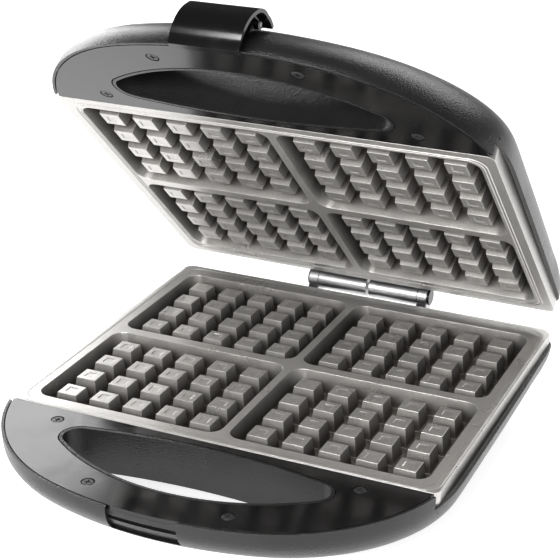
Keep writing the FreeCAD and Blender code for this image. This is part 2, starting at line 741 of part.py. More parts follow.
def lid_housing():
    skins = [dome(lid_depth, lid_powers, inset) for inset in (0.0, shell_wall, shell_wall / 2)]
    shell = mirrored(housing(lid_depth, *skins))
    ears = []
    for side in (-1, 1):
        x0, x1 = sorted((side * 8.5, side * 12.5))
        y, z = latch_pivot_y, latch_pivot_z
        ear = rod(latch_ear_radius, at(x0, y, z), at(x1, y, z))
        foot = slab_yz([(y - latch_ear_radius, z), (y - 2.6, z - 8.9), (y + 5.5, z - 4.4),
                        (y + latch_ear_radius, z)], x0, x1)
        ears.append(ear.fuse(foot))
    arms = [hinge_arm(*sorted((side * knuckle_split / 2, side * knuckle_outer)), True) for side in (-1, 1)]
    shell = shell.fuse(ears + arms)
    shell = shell.cut(latch_pin())
    bore = hinge_pin_radius + hinge_pin_clearance
    shell = shell.cut(hinge_bore(-knuckle_outer - 1, knuckle_outer + 1, bore))
    for x in (-lamp_x, lamp_x):
        shell = shell.cut(rod(lamp_radius + 0.1, at(x, lamp_y, 25), at(x, lamp_y, 60)))
    return shell


def latch():
    """Arched clip: a thin sheet over the grip's front with a hooked lip and two pivot webs."""
    y, z = latch_pivot_y, latch_pivot_z
    front = y - 19.1
    foot_z = -4.4
    arcs = ((at(0, front, foot_z), at(0, front - 1.6, 8.0), at(0, front + 4.4, z - 1.0)),
            (at(0, front + 4.4, z - 1.0), at(0, front + 9.6, z + 3.5), at(0, y - 1.0, z + 5.0)),
            (at(0, y - 1.0, z + 5.0), at(0, y + 3.6, z + 5.1), at(0, y + 8.2, z + 4.0)))
    edges = [Part.Arc(*points).toShape() for points in arcs]
    strip = Part.Wire(edges).makeOffset2D(latch_sheet, 0, True, True, False)
    strip.translate(at(-latch_half, 0, 0))
    sheet = strip.extrude(at(2 * latch_half, 0, 0))
    lip = block(-latch_half, latch_half, front, front + 4.1, foot_z, foot_z + latch_lip)
    webs = []
    for side in (-1, 1):
        x0, x1 = sorted((side * 13.0, side * 15.6))
        hub = rod(latch_hub_radius, at(x0, y, z), at(x1, y, z))
        rib = slab_yz([(y - 2.6, z), (y - 10.5, z - 1.4), (y - 6.0, z + 3.1), (y + 2.6, z + 3.8),
                       (y + 2.6, z)], x0, x1)
        webs.append(hub.fuse(rib))
    solid = sheet.fuse([lip] + webs)
    bore = latch_pin_radius + 0.05
    return solid.cut(rod(bore, at(-17, latch_pivot_y, latch_pivot_z), at(17, latch_pivot_y, latch_pivot_z)))


def latch_pin():
    y, z = latch_pivot_y, latch_pivot_z
    return rod(latch_pin_radius, at(-15.8, y, z), at(15.8, y, z))


def round_topped(radius, x, y, z0, z1, softness):
    """An upright round bar with its upper edge rounded over."""
    bar = rod(radius, at(x, y, z0), at(x, y, z1))
    return bar.makeFillet(softness, [edge for edge in bar.Edges if edge.BoundBox.ZMin > z1 - 0.01])


def lamp_z(units):
    """A height in the lamp stack, which stands on the lid's tray and ends at the lens tops."""
    return -reflector_z + units * lamp_step


def lamp_lenses():
    """Two clear jewel lenses, one for power and one for ready, flanged under the skin."""
    lenses = []
    for side in (-1, 1):
        x = side * lamp_x
        stem = round_topped(lamp_radius, x, lamp_y, lamp_z(15.95), lamp_top, 2.6)
        flange = rod(lamp_radius + 1.4, at(x, lamp_y, lamp_z(15.05)), at(x, lamp_y, lamp_z(16.45)))
        lenses.append(stem.fuse(flange))
    return lenses


def lamp_holder():
    """Bracket under the lenses with a cup for each neon lamp, screwed to the shield."""
    shelf, cup_foot, cup_rim = lamp_z(5.45), lamp_z(7.45), lamp_z(14.95)
    solid = block(-lamp_x - 7, lamp_x + 7, lamp_y - 6, lamp_y + 6, shelf, cup_foot)
    for x in (-lamp_x, lamp_x):
        solid = solid.fuse(rod(4.6, at(x, lamp_y, cup_foot), at(x, lamp_y, cup_rim)))
        solid = solid.cut(rod(3.4, at(x, lamp_y, cup_foot), at(x, lamp_y, cup_rim + 1)))
    leg = block(-3.0, 3.0, lamp_y - 6, lamp_y + 16.0, -reflector_z + 0.1, lamp_z(6.45))
    return solid.fuse(leg.cut(block(-4, 4, lamp_y - 7, lamp_y + 12.0, -reflector_z - 1, shelf)))


def neon_lamps():
    bulbs = []
    for side in (-1, 1):
        bulbs.append(round_topped(2.6, side * lamp_x, lamp_y, lamp_z(7.55), lamp_z(14.05), 2.0))
    return Part.makeCompound(bulbs)


def lid_wiring():
    """Leads from the hinge to the upper element and on to the lamps."""
    entry_y = shell_back - 12.0
    turn_y = shell_back - 16.0
    stud_x = element_tail_x + 1.5
    stud_y = element_tail_y + 6.5
    runs = [
        [(side * 3.0, entry_y, 17.0), (side * 12.0, turn_y, 18.5), (side * stud_x, stud_y, -element_z + 3.2)]
        for side in (1, -1)
    ]
    runs.append([(0.0, entry_y, 19.8), (-4.0, reflector_back_y + 8.0, lamp_z(5.6)),
                 (-12.0, grid_middle + 30.5, lamp_z(7.6)), (-9.0, grid_middle - 39.5, lamp_z(5.6)),
                 (-8.0, lamp_y + 14, lamp_z(4.45)), (-10.0, lamp_y + 7.4, lamp_z(6.45))])
    return Part.makeCompound([wire(run, 1.2, 4.0) for run in runs])


# ---------------------------------------------------------------- write every piece
plate_down = cooking_plate()
trim_down = grip_trim()
trim_screws_down = trim_screws()
element_down = heating_element()
clamps_down = element_clamps()
reflector_down = reflector()
reflector_screws_down = reflector_screws()
pin_left, pin_right = hinge_pins()
power_lens, ready_lens = lamp_lenses()

pieces = {
    "base_housing": base_housing(),
    "base_grip_trim": trim_down,
    "base_trim_screws": trim_screws_down,
    "lower_cooking_plate": plate_down,
    "lower_heating_element": element_down,
    "lower_element_clamps": clamps_down,
    "lower_heat_reflector": reflector_down,
    "lower_reflector_screws": reflector_screws_down,
    "thermostat": thermostat(),
    "thermal_fuse": thermal_fuse(),
    "terminal_block": terminal_block(),
    "base_wiring": base_wiring(),
    "cord_gland": cord_gland(),
    "rubber_feet": rubber_feet(),
    "hinge_pin_left": pin_left,
    "hinge_pin_right": pin_right,
    "hinge_end_caps": hinge_caps(),
    "lid_housing": lid_place(lid_housing()),
    "lid_grip_trim": to_lid(trim_down),
    "lid_trim_screws": to_lid(trim_screws_down),
    "upper_cooking_plate": to_lid(plate_down),
    "upper_heating_element": to_lid(element_down),
    "upper_element_clamps": to_lid(clamps_down),
    "upper_heat_reflector": to_lid(reflector_down),
    "upper_reflector_screws": to_lid(reflector_screws_down),
    "lid_wiring": lid_place(lid_wiring()),
    "lamp_holder": lid_place(lamp_holder()),
    "neon_lamps": lid_place(neon_lamps()),
    "power_lamp_lens": lid_place(power_lens),
    "ready_lamp_lens": lid_place(ready_lens),
    "latch_pin": lid_place(latch_pin()),
    "latch": lid_place(latch()),
}

# The frame's origin is on the table under the middle of the standing object's box.
lows, highs = [1e9] * 3, [-1e9] * 3
for shape in pieces.values():
    for vertex in shape.tessellate(0.5)[0]:
        for axis, value in enumerate((vertex.x, vertex.y, vertex.z)):
            lows[axis] = min(lows[axis], value)
            highs[axis] = max(highs[axis], value)
shift = at(-(lows[0] + highs[0]) / 2, -(lows[1] + highs[1]) / 2, -lows[2])
for name, shape in pieces.items():
    shape.translate(shift)
    shape.exportStep("parts/" + name + ".step")
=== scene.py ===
import json
import math

import bmesh
import bpy
from mathutils import Matrix, Vector

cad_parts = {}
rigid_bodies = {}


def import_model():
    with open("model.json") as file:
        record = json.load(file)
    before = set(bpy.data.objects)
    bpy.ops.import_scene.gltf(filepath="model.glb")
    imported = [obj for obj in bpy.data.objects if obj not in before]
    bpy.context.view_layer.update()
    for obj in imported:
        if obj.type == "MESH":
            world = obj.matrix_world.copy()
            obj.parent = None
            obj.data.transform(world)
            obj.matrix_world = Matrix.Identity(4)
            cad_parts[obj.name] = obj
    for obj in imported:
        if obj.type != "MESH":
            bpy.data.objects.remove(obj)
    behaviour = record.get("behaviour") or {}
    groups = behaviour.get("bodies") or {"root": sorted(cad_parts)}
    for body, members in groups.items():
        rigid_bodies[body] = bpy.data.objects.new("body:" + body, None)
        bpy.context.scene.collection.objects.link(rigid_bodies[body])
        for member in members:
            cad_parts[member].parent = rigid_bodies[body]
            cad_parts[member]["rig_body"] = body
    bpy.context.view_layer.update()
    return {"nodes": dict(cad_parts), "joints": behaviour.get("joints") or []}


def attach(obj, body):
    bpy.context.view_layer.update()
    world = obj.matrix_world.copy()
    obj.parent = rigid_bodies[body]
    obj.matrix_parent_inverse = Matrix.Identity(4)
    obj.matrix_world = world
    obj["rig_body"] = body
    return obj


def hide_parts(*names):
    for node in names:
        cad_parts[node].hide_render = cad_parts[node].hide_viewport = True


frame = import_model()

bl_info = {
    "name": "Waffle maker",
    "version": (1, 0, 0),
    "blender": (4, 5, 0),
    "location": "View3D > Sidebar > Waffle Maker",
    "description": "Finishes the waffle maker: moulded housings, gloss grips, cast plates, latch, stage",
    "category": "Object",
}

MM = 0.001
HINGE = next(joint for joint in frame["joints"] if joint["name"] == "lid_hinge")
LID_OPEN = math.radians(43.0)
HINGE_BEHIND_ORIGIN = 0.2338        # metres from the plate's front corner line to the hinge axis
HINGE_OVER_PARTING = 0.0009         # metres from the parting plane up to the hinge axis
ORIGIN_Y = HINGE["pos_m"][1] - HINGE_BEHIND_ORIGIN
PARTING_Z = HINGE["pos_m"][2] - HINGE_OVER_PARTING

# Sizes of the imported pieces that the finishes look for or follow, in millimetres. Places on either
# half are given from the plate's front corner line, the middle and the parting plane.
PLATE_HALF = 125.0                  # half the width of a cooking plate
PLATE_FRONT = 4.0                   # front edge of its rim
PLATE_BACK = 219.0                  # back edge of its rim
HOUSING_BACK = 228.0                # back wall of a housing
HINGE_HALF = 41.5                   # half the width that the hinge barrels take up
BARREL_RADIUS = 6.6
BARREL_CLEAR = 0.3                  # how far past a barrel's surface a face may lie
RIM_FACE = 0.25                     # rim below the parting plane
TEETH_PER_PLATE = 80
TOOTH_TIP = 11.9                    # side of a tooth's flat tip
TOOTH_RECESS = 1.4                  # tip below the rim
TIP_LEVEL_ROOM = 0.05               # how far off that level a tip may lie
TIP_AREA_ROOM = 0.1                 # share by which its area may differ

# Details that the finishes add, in millimetres.
RIM_MARGIN = 8.0                    # rim at the front and sides that gets no painted shade
RIM_MARGIN_BACK = 12.0
SHADE_START = 0.8                   # depth at which the painted shade in a cavity starts
SHADE_REACH = 11.5                  # further depth at which the painted shade is darkest
RIM_CORNER = 9.0                    # corner radius of the beads and the rim step
BEAD_WIDTH = 1.5
OUTER_BEAD_INSET = 5.4
INNER_BEAD_INSET = 7.2
BEAD_SUNK = 0.3                     # how deep a bead's foot lies in the rim
BEAD_STEPS = 6
CORNER_STEPS = 8
DIMPLE_WALL = 0.4                   # width of a dimple's sloping side
STEP_SECTION = (                    # inset from the rim's edge and height
    (0.9, -0.3), (1.0, 0.08), (1.3, 0.12), (4.0, 0.12), (4.3, 0.08), (4.4, -0.3))

EDGE_ANGLE = 30.0                   # degrees: a sharper edge is rounded
PLATE_EDGE_ANGLE = 28.0
PLATE_EDGE_SEGMENTS = 3
WELD = 1e-6                         # metres: corners nearer than this become one
FLAT_ANGLE = math.radians(0.6)      # faces that differ by less are joined into one

FLOOR_REACH = 3.0                   # metres from the middle to the floor's edges
FLOOR_DROP = 0.0002                 # metres below the feet
FLOOR_GLOW = 0.8                    # strength of the light that the floor gives
WORLD_STRENGTH = 0.08
CAMERA_AIM = (-58.23, 220.175, 0.0)  # a point of the base half, in millimetres
CAMERA_ROLL = math.radians(-0.485)
SENSOR_WIDTH = 36.0
SOFTBOXES = (                       # name, place, aim, width and height, share of the key power
    ("Key softbox", (-0.05, -0.62, 1.1), (0.0, 0.0, 0.1), (0.8, 0.22), 0.6),
    ("Front softbox", (0.15, -1.3, 0.72), (0.0, 0.0, 0.15), (1.1, 0.4), 1.7),
    ("Back softbox", (0.35, 1.5, 1.0), (0.0, 0.0, 0.1), (1.6, 0.7), 0.7),
    ("Left softbox", (-1.45, 0.95, 0.62), (-0.05, 0.0, 0.05), (1.3, 1.0), 1.1),
)


# ---------------------------------------------------------------- settings
class FinishSettings(bpy.types.PropertyGroup):
    """Colours and surface qualities of the finishes."""

    housing_colour: bpy.props.FloatVectorProperty(
        name="Housing colour", description="Moulded plastic of the two housings",
        subtype="COLOR", size=3, min=0.0, max=1.0, default=(0.004, 0.004, 0.0043))
    housing_grain: bpy.props.FloatProperty(
        name="Housing grain", description="Width of one pebble of the moulded texture",
        subtype="DISTANCE", unit="LENGTH", min=0.0001, max=0.005, default=0.0008)
    gloss_colour: bpy.props.FloatVectorProperty(
        name="Gloss colour", description="Polished plastic of the grip trims and latch",
        subtype="COLOR", size=3, min=0.0, max=1.0, default=(0.003, 0.003, 0.0033))
    plate_colour: bpy.props.FloatVectorProperty(
        name="Plate colour", description="Non-stick coating on the cast plates",
        subtype="COLOR", size=3, min=0.0, max=1.0, default=(0.63, 0.612, 0.59))
    # Painted shade: the colour that the cooking plates take deep in their cavities, in place of shade
    cavity_shade_colour: bpy.props.FloatVectorProperty(
        name="Cavity shade colour", description="Painted shade down in the cavities, darker with depth",
        subtype="COLOR", size=3, min=0.0, max=1.0, default=(0.085, 0.075, 0.067))
    wear: bpy.props.FloatProperty(
        name="Edge wear", description="How far rubbed edges lighten",
        subtype="FACTOR", min=0.0, max=1.0, default=0.35)


class ShapeSettings(bpy.types.PropertyGroup):
    """Sizes of the details that the finishes add."""

    moulded_edge: bpy.props.FloatProperty(
        name="Moulded edge", description="Rounding of the plastic pieces' edges",
        subtype="DISTANCE", unit="LENGTH", min=0.0, max=0.002, default=0.0005)
    cast_edge: bpy.props.FloatProperty(
        name="Cast edge", description="Rounding of the cooking plates' edges",
        subtype="DISTANCE", unit="LENGTH", min=0.0, max=0.002, default=0.0012)
    dimple_width: bpy.props.FloatProperty(
        name="Dimple width", description="Ejector mark on each tooth",
        subtype="DISTANCE", unit="LENGTH", min=0.001, max=0.008, default=0.003)
    dimple_depth: bpy.props.FloatProperty(
        name="Dimple depth", description="Depth of an ejector mark",
        subtype="DISTANCE", unit="LENGTH", min=0.0, max=0.001, default=0.0003)
    bead_height: bpy.props.FloatProperty(
        name="Bead height", description="Height of the sealing bead on the upper plate",
        subtype="DISTANCE", unit="LENGTH", min=0.0, max=0.0004, default=0.00035)


class StageSettings(bpy.types.PropertyGroup):
    """Camera and light."""

    camera_azimuth: bpy.props.FloatProperty(
        name="Camera azimuth", description="Turn of the view to the object's right",
        subtype="ANGLE", unit="ROTATION", default=math.radians(23.99))
    camera_elevation: bpy.props.FloatProperty(
        name="Camera elevation", description="Height of the view over the horizon",
        subtype="ANGLE", unit="ROTATION", default=math.radians(22.884))
    camera_distance: bpy.props.FloatProperty(
        name="Camera distance", description="From the aim point to the lens",
        subtype="DISTANCE", unit="LENGTH", min=0.2, default=1.02529)
    lens: bpy.props.FloatProperty(
        name="Lens", description="Focal length on a 36 mm wide sensor, in millimetres",
        min=20.0, default=100.23)
    key_power: bpy.props.FloatProperty(
        name="Key power", description="Strength that each softbox takes its share of",
        subtype="POWER", unit="POWER", min=0.0, default=17.0)
    floor_colour: bpy.props.FloatVectorProperty(
        name="Floor colour", description="Plain pale floor",
        subtype="COLOR", size=3, min=0.0, max=1.0, default=(0.55, 0.55, 0.55))


# ---------------------------------------------------------------- places
def base_point(x, y, z):
    """A point of the base half, given in millimetres."""
    return Vector((x * MM, ORIGIN_Y + y * MM, PARTING_Z + z * MM))


def lid_matrix():
    """Swings what is drawn on the shut lid to where the open lid has it."""
    centre = Vector(HINGE["pos_m"])
    swing = Matrix.Rotation(-LID_OPEN, 4, "X")
    return Matrix.Translation(centre) @ swing @ Matrix.Translation(-centre)


def lid_point(x, y, z):
    """A point of the shut lid, given in millimetres, where the open lid has it."""
    return lid_matrix() @ base_point(x, y, z)


# ---------------------------------------------------------------- node groups
def new_group(name, inputs, outputs):
    """A shader node group with named inputs and outputs, and its two end nodes."""
    group = bpy.data.node_groups.new(name, "ShaderNodeTree")
    for label, default in inputs:
        socket = group.interface.new_socket(
            name=label, in_out="INPUT", socket_type="NodeSocketFloat")
        socket.default_value = default
    for label, kind in outputs:
        group.interface.new_socket(name=label, in_out="OUTPUT", socket_type=kind)
    entry = group.nodes.new("NodeGroupInput")
    leave = group.nodes.new("NodeGroupOutput")
    entry.location = (-900, 0)
    leave.location = (700, 0)
    return group, entry, leave


def add(tree, kind, where, **values):
    """Adds a node; keys name its properties, or its input sockets where it has no such property."""
    made = tree.nodes.new(kind)
    made.location = where
    for key, value in values.items():
        if hasattr(made, key):
            setattr(made, key, value)
        else:
            made.inputs[key.replace("_", " ")].default_value = value
    return made


def maths(tree, operation, first, second, where=(0, 0), clamp=False):
    """Output of a math node; each value is a number or a socket."""
    made = tree.nodes.new("ShaderNodeMath")
    made.location = where
    made.operation = operation
    made.use_clamp = clamp
    for socket, value in zip(made.inputs, (first, second)):
        if isinstance(value, (int, float)):
            socket.default_value = value
        else:
            tree.links.new(value, socket)
    return made.outputs[0]


def remap(tree, value, low, high, to_low, to_high, where=(0, 0)):
    """Output of a clamped map range node."""
    made = tree.nodes.new("ShaderNodeMapRange")
    made.location = where
    made.clamp = True
    tree.links.new(value, made.inputs["Value"])
    limits = {"From Min": low, "From Max": high, "To Min": to_low, "To Max": to_high}
    for label, number in limits.items():
        made.inputs[label].default_value = number
    return made.outputs["Result"]


def pebble_group():
    """Moulded pebble texture: a height for bump and a slow tone that shifts over the surface."""
    group, entry, leave = new_group(
        "Moulded pebble", [("Pebble Size", 0.0007), ("Depth", 1.0)],
        [("Height", "NodeSocketFloat"), ("Tone", "NodeSocketFloat")])
    place = add(group, "ShaderNodeTexCoord", (-900, -200))
    scale = maths(group, "DIVIDE", 1.0, entry.outputs["Pebble Size"], (-700, 0))
    fine = add(group, "ShaderNodeTexVoronoi", (-450, 100),
               feature="SMOOTH_F1", Smoothness=0.6)
    broad = add(group, "ShaderNodeTexNoise", (-450, -200),
                Scale=1400.0, Detail=3.0, Roughness=0.6)
    slow = add(group, "ShaderNodeTexNoise", (-450, -450),
               Scale=22.0, Detail=4.0, Roughness=0.55)
    for texture in (fine, broad, slow):
        group.links.new(place.outputs["Object"], texture.inputs["Vector"])
    group.links.new(scale, fine.inputs["Scale"])
    dome = maths(group, "SUBTRACT", 1.0, fine.outputs["Distance"], (-200, 100))
    mixed = maths(group, "MULTIPLY_ADD", broad.outputs["Fac"], 0.5, (0, 0))
    group.links.new(dome, mixed.node.inputs[2])
    height = maths(group, "MULTIPLY", mixed, entry.outputs["Depth"], (300, 0))
    group.links.new(height, leave.inputs["Height"])
    group.links.new(slow.outputs["Fac"], leave.inputs["Tone"])
    return group


def rubbed_edge_group():
    """Mask that is 1 on rubbed outer edges, broken up by fine noise."""
    group, entry, leave = new_group(
        "Rubbed edge", [("Radius", 0.0008), ("Amount", 1.0)], [("Mask", "NodeSocketFloat")])
    soft = add(group, "ShaderNodeBevel", (-650, 100), samples=4)
    group.links.new(entry.outputs["Radius"], soft.inputs["Radius"])
    true_face = add(group, "ShaderNodeNewGeometry", (-650, -100))
    turn = add(group, "ShaderNodeVectorMath", (-450, 0), operation="DOT_PRODUCT")
    group.links.new(soft.outputs["Normal"], turn.inputs[0])
    group.links.new(true_face.outputs["Normal"], turn.inputs[1])
    edge = remap(group, turn.outputs["Value"], 0.995, 0.86, 0.0, 1.0, (-250, 0))
    place = add(group, "ShaderNodeTexCoord", (-650, -350))
    patch = add(group, "ShaderNodeTexNoise", (-450, -350),
                Scale=160.0, Detail=5.0, Roughness=0.65)
    group.links.new(place.outputs["Object"], patch.inputs["Vector"])
    broken = remap(group, patch.outputs["Fac"], 0.42, 0.62, 0.15, 1.0, (-250, -350))
    both = maths(group, "MULTIPLY", edge, broken, (0, 0))
    mask = maths(group, "MULTIPLY", both, entry.outputs["Amount"], (250, 0), True)
    group.links.new(mask, leave.inputs["Mask"])
    return group


def handling_group():
    """Handling marks: cloudy smears and hairline scratches that vary roughness."""
    group, entry, leave = new_group(
        "Handling marks", [("Smear Size", 0.03), ("Base", 0.1), ("Spread", 0.1)],
        [("Roughness", "NodeSocketFloat"), ("Scratch Height", "NodeSocketFloat")])
    place = add(group, "ShaderNodeTexCoord", (-1100, -200))
    scale = maths(group, "DIVIDE", 1.0, entry.outputs["Smear Size"], (-700, 100))
    cloud = add(group, "ShaderNodeTexNoise", (-450, 100),
                Detail=6.0, Roughness=0.62, Distortion=0.8)
    group.links.new(place.outputs["Object"], cloud.inputs["Vector"])
    group.links.new(scale, cloud.inputs["Scale"])
    stretch = add(group, "ShaderNodeMapping", (-900, -250))
    stretch.inputs["Rotation"].default_value = (0.2, 0.5, 0.6)
    stretch.inputs["Scale"].default_value = (40.0, 1600.0, 900.0)
    group.links.new(place.outputs["Object"], stretch.inputs["Vector"])
    hair = add(group, "ShaderNodeTexNoise", (-650, -250), Scale=1.0, Detail=2.0)
    group.links.new(stretch.outputs["Vector"], hair.inputs["Vector"])
    line = remap(group, hair.outputs["Fac"], 0.66, 0.78, 0.0, 1.0, (-400, -250))
    smear = remap(group, cloud.outputs["Fac"], 0.35, 0.75, 0.0, 1.0, (-200, 100))
    marks = maths(group, "MULTIPLY_ADD", line, 0.35, (0, 0))
    group.links.new(smear, marks.node.inputs[2])
    spread = maths(group, "MULTIPLY", marks, entry.outputs["Spread"], (200, 0))
    rough = maths(group, "ADD", spread, entry.outputs["Base"], (400, 0), True)
    group.links.new(rough, leave.inputs["Roughness"])
    group.links.new(line, leave.inputs["Scratch Height"])
    return group


def cast_group():
    """Sand-fine cast skin under a coating: grain height, speckle and a slow tone."""
    group, entry, leave = new_group(
        "Cast skin", [("Grain", 0.0004)],
        [("Height", "NodeSocketFloat"), ("Speckle", "NodeSocketFloat"), ("Tone", "NodeSocketFloat")])
    place = add(group, "ShaderNodeTexCoord", (-900, -200))
    scale = maths(group, "DIVIDE", 1.0, entry.outputs["Grain"], (-700, 0))
    fine = add(group, "ShaderNodeTexNoise", (-450, 200), Detail=3.0, Roughness=0.7)
    speck = add(group, "ShaderNodeTexNoise", (-450, -50), Scale=1900.0, Detail=2.0)
    slow = add(group, "ShaderNodeTexNoise", (-450, -300),
               Scale=35.0, Detail=5.0, Roughness=0.6)
    for texture in (fine, speck, slow):
        group.links.new(place.outputs["Object"], texture.inputs["Vector"])
    group.links.new(scale, fine.inputs["Scale"])
    group.links.new(fine.outputs["Fac"], leave.inputs["Height"])
    speckle = remap(group, speck.outputs["Fac"], 0.35, 0.68, 0.0, 1.0)
    group.links.new(speckle, leave.inputs["Speckle"])
    group.links.new(slow.outputs["Fac"], leave.inputs["Tone"])
    return group


GROUPS = {}


def build_groups():
    """Builds each shared node group once."""
    GROUPS["pebble"] = pebble_group()
    GROUPS["rubbed"] = rubbed_edge_group()
    GROUPS["marks"] = handling_group()
    GROUPS["cast"] = cast_group()


# ---------------------------------------------------------------- materials
def start_material(name):
    """A new material, its node tree and its Principled shader."""
    made = bpy.data.materials.new(name)
    made.use_nodes = True
    tree = made.node_tree
    shader = next(item for item in tree.nodes if item.type == "BSDF_PRINCIPLED")
    return made, tree, shader


def place_group(tree, key, where, **values):
    """Places a shared group in a material, with its own input values."""
    made = tree.nodes.new("ShaderNodeGroup")
    made.node_tree = GROUPS[key]
    made.location = where
    for label, value in values.items():
        made.inputs[label.replace("_", " ")].default_value = value
    return made


def mix_colour(tree, mask, first, second, where):
    """Mixes two colours, each a triple or a socket, by a mask socket."""
    made = tree.nodes.new("ShaderNodeMix")
    made.data_type = "RGBA"
    made.location = where
    tree.links.new(mask, made.inputs["Factor"])
    for socket, value in ((made.inputs[6], first), (made.inputs[7], second)):
        if isinstance(value, bpy.types.NodeSocket):
            tree.links.new(value, socket)
        else:
            socket.default_value = (*value, 1.0)
    return made.outputs[2]


def bump(tree, shader, height, distance, strength):
    """Feeds a height, in metres, to the shader's normal."""
    made = add(tree, "ShaderNodeBump", (-250, -300), Strength=strength, Distance=distance)
    tree.links.new(height, made.inputs["Height"])
    tree.links.new(made.outputs["Normal"], shader.inputs["Normal"])


def wear_colour(tree, shader, mask, plain, worn):
    """Feeds the base colour: the plain one, and the worn one where the mask says rubbed."""
    tree.links.new(mix_colour(tree, mask, plain, worn, (-350, 100)), shader.inputs["Base Color"])


def lighter(colour, amount):
    """A colour moved towards white by a share."""
    return tuple(part + (1.0 - part) * amount for part in colour)


def darker(colour, amount):
    """A colour moved towards black by a share."""
    return tuple(part * (1.0 - amount) for part in colour)


def housing_material(finish):
    """Black moulding whose pebbles catch the light one by one."""
    made, tree, shader = start_material("Textured black housing")
    pebble = place_group(tree, "pebble", (-900, 0), Pebble_Size=finish.housing_grain)
    rub = place_group(tree, "rubbed", (-900, -300), Radius=0.0009, Amount=finish.wear)
    marks = place_group(tree, "marks", (-900, 300), Smear_Size=0.05, Base=0.26, Spread=0.08)
    colour = tuple(finish.housing_colour)
    toned = mix_colour(tree, pebble.outputs["Tone"], darker(colour, 0.3), lighter(colour, 0.012),
                       (-600, 100))
    wear_colour(tree, shader, rub.outputs["Mask"], toned, lighter(colour, 0.09))
    tree.links.new(marks.outputs["Roughness"], shader.inputs["Roughness"])
    shader.inputs["Specular IOR Level"].default_value = 0.4
    bump(tree, shader, pebble.outputs["Height"], 0.00022, 0.75)
    return made


def gloss_material(finish, name, base):
    """Polished plastic: near-mirror, with smears and hairline scratches."""
    made, tree, shader = start_material(name)
    marks = place_group(tree, "marks", (-900, 200), Smear_Size=0.028, Base=base, Spread=0.09)
    rub = place_group(tree, "rubbed", (-900, -200), Radius=0.0005, Amount=finish.wear * 0.6)
    colour = tuple(finish.gloss_colour)
    wear_colour(tree, shader, rub.outputs["Mask"], colour, lighter(colour, 0.10))
    tree.links.new(marks.outputs["Roughness"], shader.inputs["Roughness"])
    shader.inputs["IOR"].default_value = 1.53
    bump(tree, shader, marks.outputs["Scratch Height"], 0.000012, 0.5)
    return made


def plate_material(finish):
    """Satin metallic coating with painted shade: darker where the cavity_depth attribute says it is
    deep.
    """
    made, tree, shader = start_material("Non-stick cast plate")
    cast = place_group(tree, "cast", (-1100, 200), Grain=0.00045)
    rub = place_group(tree, "rubbed", (-1100, -200), Radius=0.0012, Amount=0.6)
    marks = place_group(tree, "marks", (-1100, 500), Smear_Size=0.04, Base=0.27, Spread=0.08)
    depth = add(tree, "ShaderNodeAttribute", (-1100, -450), attribute_name="cavity_depth")
    colour = tuple(finish.plate_colour)
    cavity_shade = tuple(finish.cavity_shade_colour)
    grain = mix_colour(tree, cast.outputs["Speckle"], darker(colour, 0.22), lighter(colour, 0.12),
                       (-850, 200))
    worn = mix_colour(tree, rub.outputs["Mask"], grain, lighter(colour, 0.30), (-650, 100))
    # Painted shade: darker towards the cavity floors by the cavity_depth attribute, broken up by slow
    # noise
    shade_noise = maths(tree, "MULTIPLY_ADD", cast.outputs["Tone"], 0.5, (-850, -300))
    shade_noise.node.inputs[2].default_value = -0.25
    deep = maths(tree, "ADD", depth.outputs["Fac"], shade_noise, (-650, -300))
    mask = remap(tree, deep, 0.02, 0.75, 0.0, 0.95, (-450, -300))
    final = mix_colour(tree, mask, worn, cavity_shade, (-250, 100))
    tree.links.new(final, shader.inputs["Base Color"])
    tree.links.new(marks.outputs["Roughness"], shader.inputs["Roughness"])
    shader.inputs["Metallic"].default_value = 0.78
    bump(tree, shader, cast.outputs["Height"], 0.00006, 0.55)
    return made


def metal_material(name, colour, roughness, metallic=1.0):
    """Bare or plated metal with a fine grain."""
    made, tree, shader = start_material(name)
    cast = place_group(tree, "cast", (-900, 0), Grain=0.0003)
    marks = place_group(tree, "marks", (-900, 300), Smear_Size=0.012, Base=roughness, Spread=0.1)
    rub = place_group(tree, "rubbed", (-900, -300), Radius=0.0003, Amount=0.5)
    toned = mix_colour(tree, cast.outputs["Tone"], darker(colour, 0.25), lighter(colour, 0.08),
                       (-600, 100))
    wear_colour(tree, shader, rub.outputs["Mask"], toned, lighter(colour, 0.35))
    tree.links.new(marks.outputs["Roughness"], shader.inputs["Roughness"])
    shader.inputs["Metallic"].default_value = metallic
    bump(tree, shader, cast.outputs["Height"], 0.00002, 0.5)
    return made


def plain_material(name, colour, roughness, pebble_size, depth, transmission=0.0):
    """Rubber, ceramic, sleeve or clear plastic, with its own pebble size and depth in metres."""
    made, tree, shader = start_material(name)
    pebble = place_group(tree, "pebble", (-900, 0), Pebble_Size=pebble_size)
    marks = place_group(tree, "marks", (-900, 300), Smear_Size=0.01, Base=roughness, Spread=0.12)
    toned = mix_colour(tree, pebble.outputs["Tone"], darker(colour, 0.2), lighter(colour, 0.05),
                       (-500, 100))
    tree.links.new(toned, shader.inputs["Base Color"])
    tree.links.new(marks.outputs["Roughness"], shader.inputs["Roughness"])
    shader.inputs["Transmission Weight"].default_value = transmission
    bump(tree, shader, pebble.outputs["Height"], depth, 0.5)
    return made


def floor_material(colour):
    """Pale floor, lit from below like a light table so that it stays white."""
    made, tree, shader = start_material("Pale studio floor")
    place = add(tree, "ShaderNodeTexCoord", (-800, 0))
    cloud = add(tree, "ShaderNodeTexNoise", (-600, 0), Scale=3.0, Detail=3.0)
    tree.links.new(place.outputs["Object"], cloud.inputs["Vector"])
    tint = mix_colour(tree, cloud.outputs["Fac"], darker(tuple(colour), 0.01), tuple(colour),
                      (-300, 100))
    tree.links.new(tint, shader.inputs["Base Color"])
    shader.inputs["Roughness"].default_value = 0.6
    shader.inputs["Emission Color"].default_value = (1.0, 1.0, 1.0, 1.0)
    shader.inputs["Emission Strength"].default_value = FLOOR_GLOW
    return made


